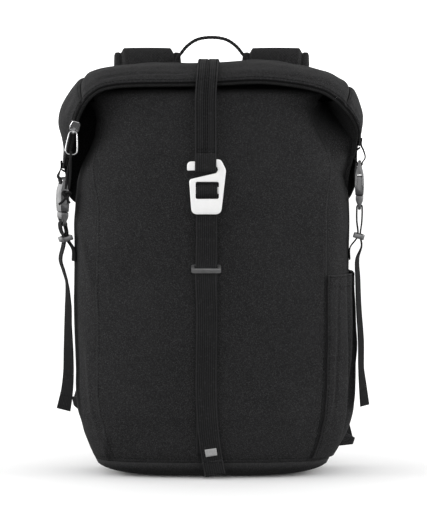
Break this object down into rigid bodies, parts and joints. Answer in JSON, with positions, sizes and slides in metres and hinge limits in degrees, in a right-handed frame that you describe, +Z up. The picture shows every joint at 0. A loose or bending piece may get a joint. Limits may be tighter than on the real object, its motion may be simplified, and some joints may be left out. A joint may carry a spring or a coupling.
{
  "type": "rolltop backpack",
  "caption": "Black canvas backpack with a folded top, a centre strap with an open metal hook, buckled side straps and one side pocket.",
  "frame": {"origin": "on the floor under the middle of the bag, at its widest cross-section", "axes": "+X to the viewer's right when the front faces the viewer, +Y towards the bag's back, +Z up"},
  "size_m": [0.3785, 0.249, 0.5277],
  "materials": {
    "canvas": "matt tightly woven canvas",
    "webbing": "ribbed webbing",
    "padding": "matt knitted cover over foam",
    "zip_tape": "woven tape with a closed coil",
    "cord": "braided cord",
    "hook_metal": "white satin coated aluminium",
    "grey_metal": "satin grey",
    "zip_metal": "bright satin",
    "label": "woven grey tab",
    "plastic": "matt moulded black"
  },
  "bodies": {
    "bag": {"front_panel": "canvas", "side_panel_left": "canvas", "side_panel_right": "canvas", "back_panel": "canvas", "base_panel": "canvas", "hood": "canvas", "ear_left": "canvas", "ear_right": "canvas", "mouth_layer": "canvas", "side_pocket": "canvas", "yoke": "canvas", "anchor_wing_left": "canvas", "anchor_wing_right": "canvas", "back_pad_left": "padding", "back_pad_right": "padding", "shoulder_strap_left": "padding", "shoulder_strap_right": "padding", "hook_strap": "webbing", "lower_strap": "webbing", "strap_end_fold": "webbing", "ear_loop_left": "webbing", "ear_loop_right": "webbing", "side_webbing_left": "webbing", "side_webbing_right": "webbing", "shoulder_webbing_left": "webbing", "shoulder_webbing_right": "webbing", "haul_handle": "webbing", "zip": "zip_tape", "zip_slider": "zip_metal", "open_hook": "hook_metal", "strap_keeper": "grey_metal", "side_keeper_left": "grey_metal", "side_keeper_right": "grey_metal", "buckle_socket_left": "grey_metal", "buckle_socket_right": "grey_metal", "buckle_plug_left": "grey_metal", "buckle_plug_right": "grey_metal", "strap_label": "label", "strap_adjuster_left": "plastic", "strap_adjuster_right": "plastic"},
    "puller": {"zip_puller": "zip_metal", "pull_cord": "cord", "cord_knot": "cord"}
  },
  "joints": [
    {"name": "puller_swing", "type": "hinge", "parent": "bag", "child": "puller", "pos_m": [-0.16394, -0.06961, 0.41359], "axis": [-0.9942, 0, 0.1075], "range_deg": [0, 150]}
  ]
}
